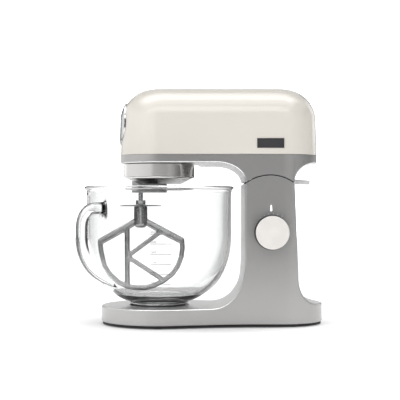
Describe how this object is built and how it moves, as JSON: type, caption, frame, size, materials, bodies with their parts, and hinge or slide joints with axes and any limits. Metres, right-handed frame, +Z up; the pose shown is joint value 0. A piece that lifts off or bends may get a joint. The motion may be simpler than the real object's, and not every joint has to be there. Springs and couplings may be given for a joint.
{
  "type": "stand mixer",
  "caption": "Tilt-head stand mixer with a clear glass bowl, flat beater, turning planetary hub, speed dial and head release lever, with its drive train inside.",
  "frame": {"origin": "centre of the footprint of the whole object, at the level its rubber feet stand on", "axes": "+Z up, -X towards the head's front and the bowl, +X towards the pillar, -Y towards the side with the speed dial"},
  "size_m": [0.3569, 0.224, 0.3497],
  "materials": {
    "cream_enamel": "gloss enamel, warm cream",
    "silver_paint": "satin silver paint",
    "chrome": "polished",
    "steel": "machined",
    "aluminium": "cast, burnished",
    "glass": "clear, pressed and polished",
    "rubber": "matt black",
    "black_plastic": "fine matt",
    "bronze": "sintered",
    "copper": "laminated core under copper windings",
    "circuit_board": "green lacquer",
    "pearl_white": "pearl white",
    "lens_white": "clear white"
  },
  "bodies": {
    "stand": {"base_stand": "silver_paint", "base_cover": "black_plastic", "base_screw_1": "steel", "base_screw_2": "steel", "base_screw_3": "steel", "base_screw_4": "steel", "foot_front": "rubber", "foot_front_left": "rubber", "foot_front_right": "rubber", "foot_rear_left": "rubber", "foot_rear_right": "rubber", "bowl_seat": "black_plastic", "hinge_bracket": "steel", "tilt_bush_left": "bronze", "tilt_bush_right": "bronze", "tilt_pin": "steel", "speed_switch": "black_plastic", "indicator_lens": "lens_white", "control_board": "circuit_board", "cord_gland": "rubber"},
    "dial": {"speed_dial": "pearl_white", "dial_shaft": "steel"},
    "bowl": {"glass_bowl": "glass", "lock_ring": "black_plastic"},
    "head": {"head_frame": "silver_paint", "head_cover": "cream_enamel", "outlet_socket": "steel", "badge_plate": "black_plastic", "hinge_arm": "steel", "lever_pin": "steel", "lever_spring": "steel", "hub_housing": "chrome", "ring_gear": "steel", "motor_case": "steel", "stator_core": "copper", "motor_end_plate": "aluminium", "drive_belt": "rubber", "gearbox_frame": "aluminium", "spindle_bearing_lower": "bronze", "spindle_bearing_upper": "bronze", "layshaft_bearing_lower": "bronze", "layshaft_bearing_upper": "bronze"},
    "lever": {"release_lever": "chrome"},
    "outlet_plate": {"outlet_cover": "chrome"},
    "planet": {"planet_hub": "aluminium", "main_spindle": "steel", "main_gear": "steel"},
    "tool": {"planet_pinion": "steel", "tool_spindle": "steel", "beater_frame": "aluminium", "drip_disc": "steel", "height_nut": "steel", "beater_shaft": "steel"},
    "countershaft": {"layshaft": "steel", "drive_pinion": "steel", "belt_wheel": "black_plastic"},
    "rotor": {"motor_rotor": "steel", "cooling_fan": "black_plastic", "motor_pulley": "steel"}
  },
  "joints": [
    {"name": "head_tilt", "type": "hinge", "parent": "stand", "child": "head", "pos_m": [0.0977, 0, 0.1616], "axis": [0, 1, 0], "range_deg": [0, 38]},
    {"name": "speed_turn", "type": "hinge", "parent": "stand", "child": "dial", "pos_m": [0.0999, 0, 0.1375], "axis": [0, 1, 0], "range_deg": [-40, 180]},
    {"name": "bowl_twist", "type": "hinge", "parent": "stand", "child": "bowl", "pos_m": [-0.0648, 0, 0], "axis": [0, 0, 1], "range_deg": [0, 30]},
    {"name": "lever_lift", "type": "hinge", "parent": "head", "child": "lever", "pos_m": [0.1182, 0, 0.2275], "axis": [0, -1, 0], "range_deg": [0, 12], "stiffness_Nm_per_rad": 0.2, "springref_deg": -20.05},
    {"name": "outlet_cover_pull", "type": "slide", "parent": "head", "child": "outlet_plate", "axis": [-1, 0, 0], "range_m": [0, 0.028]},
    {"name": "planetary_spin", "type": "hinge", "parent": "head", "child": "planet", "pos_m": [-0.0648, 0, 0.21], "axis": [0, 0, 1], "continuous": true},
    {"name": "beater_spin", "type": "hinge", "parent": "planet", "child": "tool", "pos_m": [-0.0928, 0, 0.21], "axis": [0, 0, 1], "continuous": true},
    {"name": "layshaft_spin", "type": "hinge", "parent": "head", "child": "countershaft", "pos_m": [-0.0098, 0, 0.26], "axis": [0, 0, 1], "continuous": true},
    {"name": "motor_spin", "type": "hinge", "parent": "head", "child": "rotor", "pos_m": [0.0852, 0, 0.26], "axis": [0, 0, 1], "continuous": true}
  ],
  "couplings": [
    {"joint": "beater_spin", "follows": "planetary_spin", "ratio": -3},
    {"joint": "layshaft_spin", "follows": "planetary_spin", "ratio": -4},
    {"joint": "motor_spin", "follows": "planetary_spin", "ratio": -24}
  ]
}
